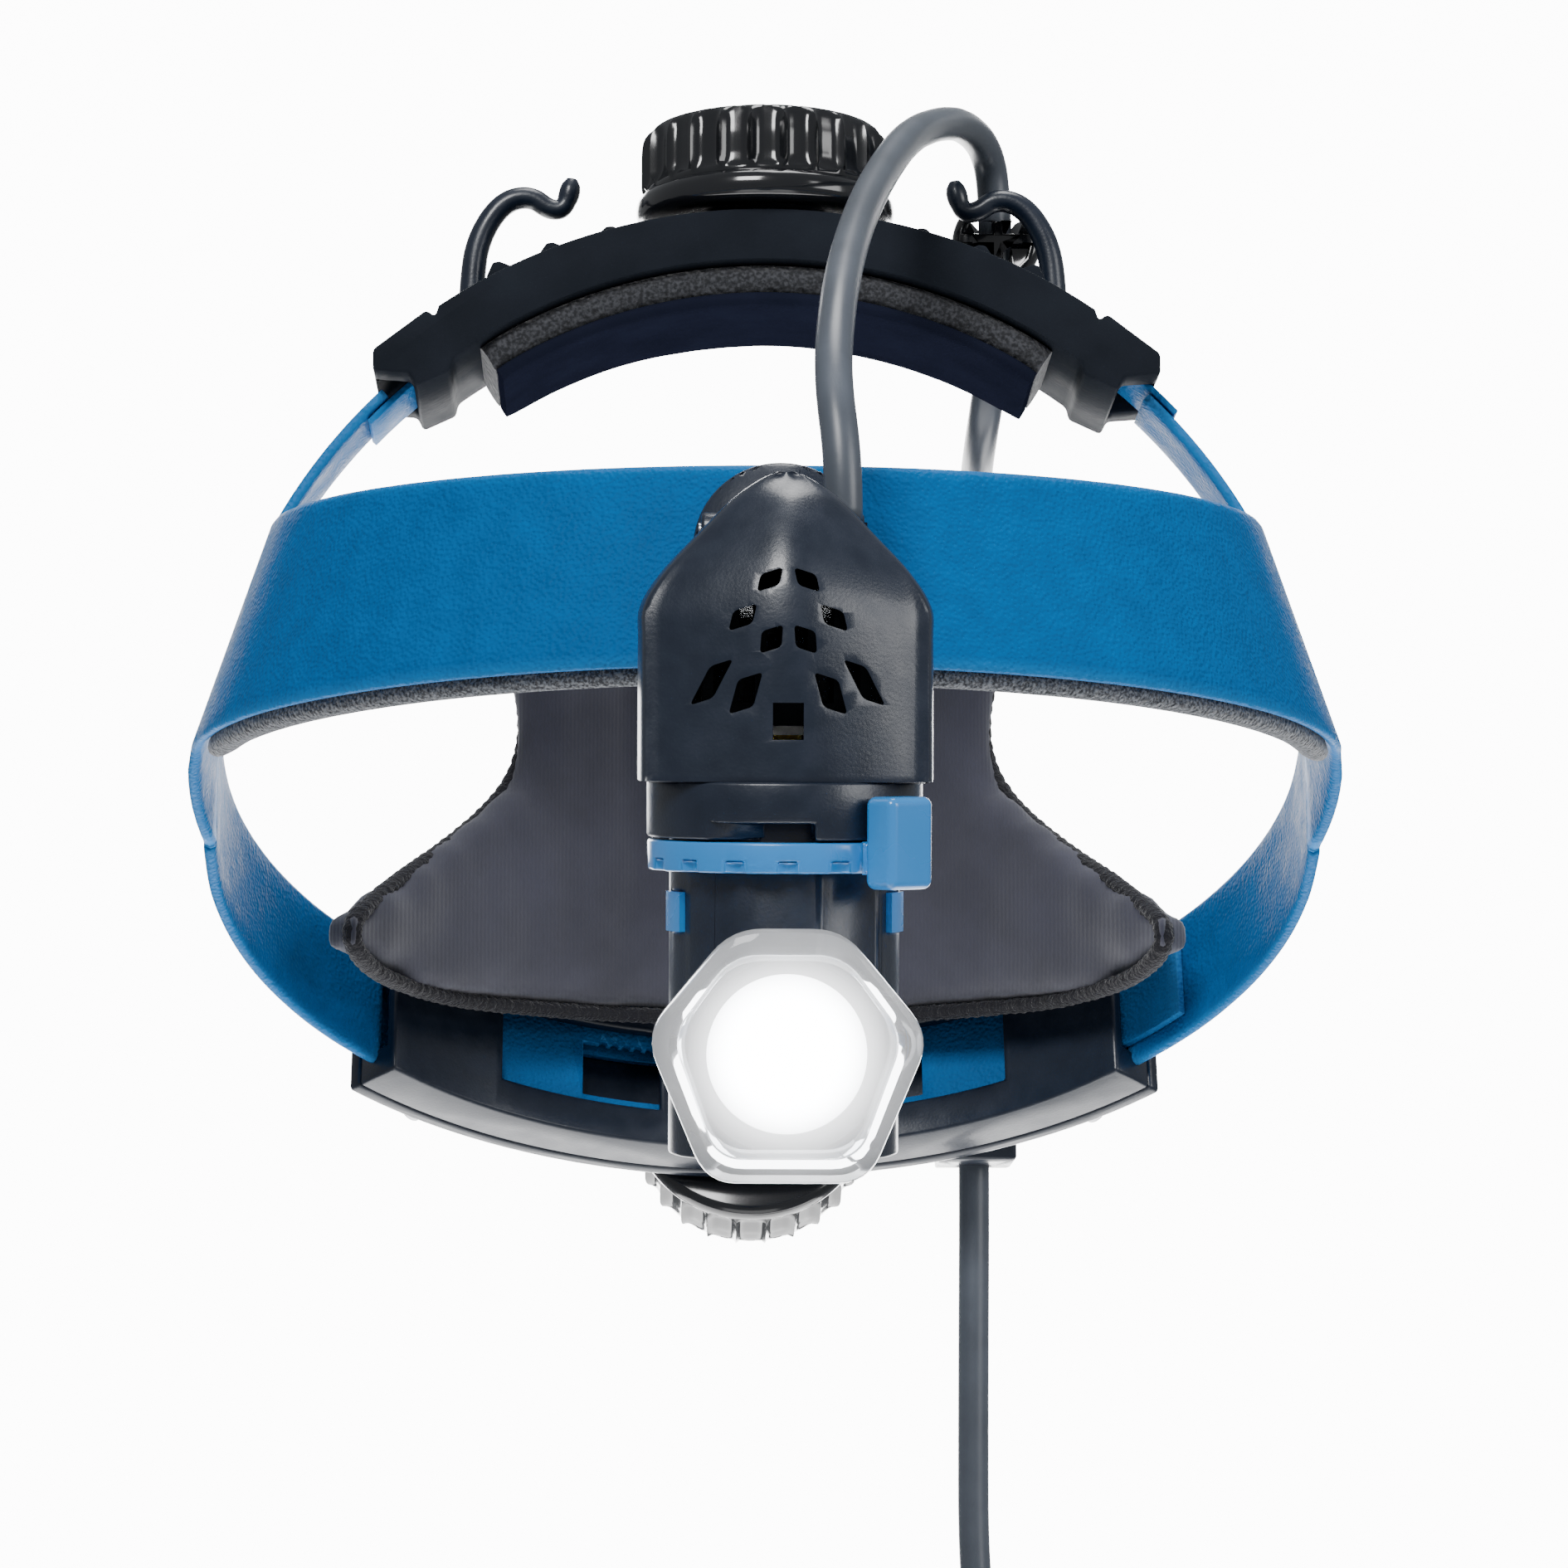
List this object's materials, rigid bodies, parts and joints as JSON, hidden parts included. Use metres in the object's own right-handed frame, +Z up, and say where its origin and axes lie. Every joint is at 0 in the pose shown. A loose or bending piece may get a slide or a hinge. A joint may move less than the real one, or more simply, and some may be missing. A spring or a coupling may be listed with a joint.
{
  "type": "medical headlight",
  "caption": "Coaxial LED headlight on an adjustable plastic headband, with ratchet knobs at the crown and back, pads, lead hooks and a lead ending in a plug.",
  "frame": {"origin": "centre of the head opening, half way up the front band", "axes": "-Y the way the wearer looks, +Z up, +X to the wearer's left"},
  "size_m": [0.1746, 0.2594, 0.3688],
  "materials": {
    "blue_band": "matt, fine leather grain",
    "blue_gloss": "glossy",
    "black_matt": "matt",
    "black_satin": "satin",
    "black_gloss": "glossy",
    "grey_felt": "speckled felt",
    "black_foam": "foam",
    "neoprene": "fine rib knit",
    "lead_rubber": "satin",
    "tie_rubber": "satin",
    "steel": "brushed",
    "pinion_plastic": "matt",
    "sink_metal": "satin",
    "board": "matt",
    "emitter": "glossy",
    "lens_glass": "polished",
    "mirror_face": "polished",
    "bezel_clear": "glossy",
    "plug_metal": "plated"
  },
  "bodies": {
    "headband": {"front_band": "blue_band", "brow_pad": "grey_felt", "rear_strap_left": "blue_band", "rear_strap_right": "blue_band", "overhead_strap_left": "blue_band", "overhead_strap_right": "blue_band", "lamp_mount_base": "black_matt", "mount_backplate": "steel", "mount_screws": "steel", "hinge_pin": "steel", "lead_front": "lead_rubber", "lead_rear": "lead_rubber"},
    "lamp": {"lamp_arm": "black_matt", "lamp_hood": "black_satin", "lead_gland": "black_matt", "heat_sink": "sink_metal", "led_board": "board", "led_emitter": "emitter", "condenser_lens": "lens_glass", "lamp_collar": "black_matt", "optics_barrel": "black_matt", "mirror_carrier": "black_matt", "fold_mirror": "mirror_face", "projection_lens": "lens_glass", "lens_retaining_ring": "black_matt", "front_bezel": "bezel_clear", "window_glass": "lens_glass", "index_tabs": "blue_gloss", "hood_screws": "steel"},
    "aperture": {"aperture_ring": "blue_gloss", "aperture_disc": "black_matt"},
    "rear_unit": {"rear_tray": "black_matt", "rear_cover": "black_matt", "rear_cover_screws": "steel", "rear_pad": "neoprene", "pad_plate": "black_matt", "lead_clip": "black_matt", "lead_tail": "lead_rubber", "lead_coil": "lead_rubber", "lead_end": "lead_rubber", "coil_tie": "tie_rubber", "plug_relief": "lead_rubber", "plug_body": "black_gloss", "plug_pin": "plug_metal"},
    "rear_knob_set": {"rear_knob": "black_gloss", "rear_pinion": "pinion_plastic"},
    "rear_rack_l": {"rear_rack_left": "blue_band"},
    "rear_rack_r": {"rear_rack_right": "blue_band"},
    "crown_unit": {"crown_arch": "black_matt", "crown_pad": "black_foam", "lead_hook_left": "black_satin", "lead_hook_right": "black_satin", "lead_grommet": "black_gloss"},
    "crown_knob_set": {"crown_knob": "black_gloss", "crown_pinion": "pinion_plastic"},
    "crown_rack_l": {"crown_rack_left": "blue_band"},
    "crown_rack_r": {"crown_rack_right": "blue_band"}
  },
  "joints": [
    {"name": "lamp_tilt", "type": "hinge", "parent": "headband", "child": "lamp", "pos_m": [0, -0.104, -0.002], "axis": [1, 0, 0], "range_deg": [-60, 5], "deforming": ["lead_front"]},
    {"name": "aperture_turn", "type": "hinge", "parent": "lamp", "child": "aperture", "pos_m": [0, -0.11328, -0.0473], "axis": [0, -0.1736, 0.9848], "range_deg": [-60, 0]},
    {"name": "rear_fit", "type": "slide", "parent": "headband", "child": "rear_unit", "axis": [0, 0.9063, -0.4226], "range_m": [-0.008, 0.008], "deforming": ["rear_strap_left", "rear_strap_right", "lead_rear"]},
    {"name": "rear_knob_turn", "type": "hinge", "parent": "rear_unit", "child": "rear_knob_set", "pos_m": [0, 0.09704, -0.05792], "axis": [0, 0.9063, -0.4226], "range_deg": [-92, 92]},
    {"name": "rear_rack_left_draw", "type": "hinge", "parent": "rear_unit", "child": "rear_rack_l", "pos_m": [0, 0.02, -0.022], "axis": [0, 0.4226, 0.9063], "range_deg": [-5.6, 5.6]},
    {"name": "rear_rack_right_draw", "type": "hinge", "parent": "rear_unit", "child": "rear_rack_r", "pos_m": [0, 0.02, -0.022], "axis": [0, 0.4226, 0.9063], "range_deg": [-5.6, 5.6]},
    {"name": "crown_fit", "type": "slide", "parent": "headband", "child": "crown_unit", "axis": [0, 0, 1], "range_m": [-0.006, 0.006], "deforming": ["overhead_strap_left", "overhead_strap_right"]},
    {"name": "crown_knob_turn", "type": "hinge", "parent": "crown_unit", "child": "crown_knob_set", "pos_m": [0, 0.0015, 0.066], "axis": [0, 0, 1], "range_deg": [-70, 70]},
    {"name": "crown_rack_left_draw", "type": "hinge", "parent": "crown_unit", "child": "crown_rack_l", "pos_m": [0, 0.0015, -0.0225], "axis": [0, 1, 0], "range_deg": [-4.3, 4.3]},
    {"name": "crown_rack_right_draw", "type": "hinge", "parent": "crown_unit", "child": "crown_rack_r", "pos_m": [0, 0.0015, -0.0225], "axis": [0, 1, 0], "range_deg": [-4.3, 4.3]}
  ],
  "couplings": [
    {"joint": "rear_knob_turn", "follows": "rear_fit", "rad_per_m": -200},
    {"joint": "rear_rack_left_draw", "follows": "rear_fit", "rad_per_m": 11.9},
    {"joint": "rear_rack_right_draw", "follows": "rear_fit", "rad_per_m": -11.9},
    {"joint": "crown_knob_turn", "follows": "crown_fit", "rad_per_m": -200},
    {"joint": "crown_rack_left_draw", "follows": "crown_fit", "rad_per_m": -12.1},
    {"joint": "crown_rack_right_draw", "follows": "crown_fit", "rad_per_m": 12.1}
  ]
}
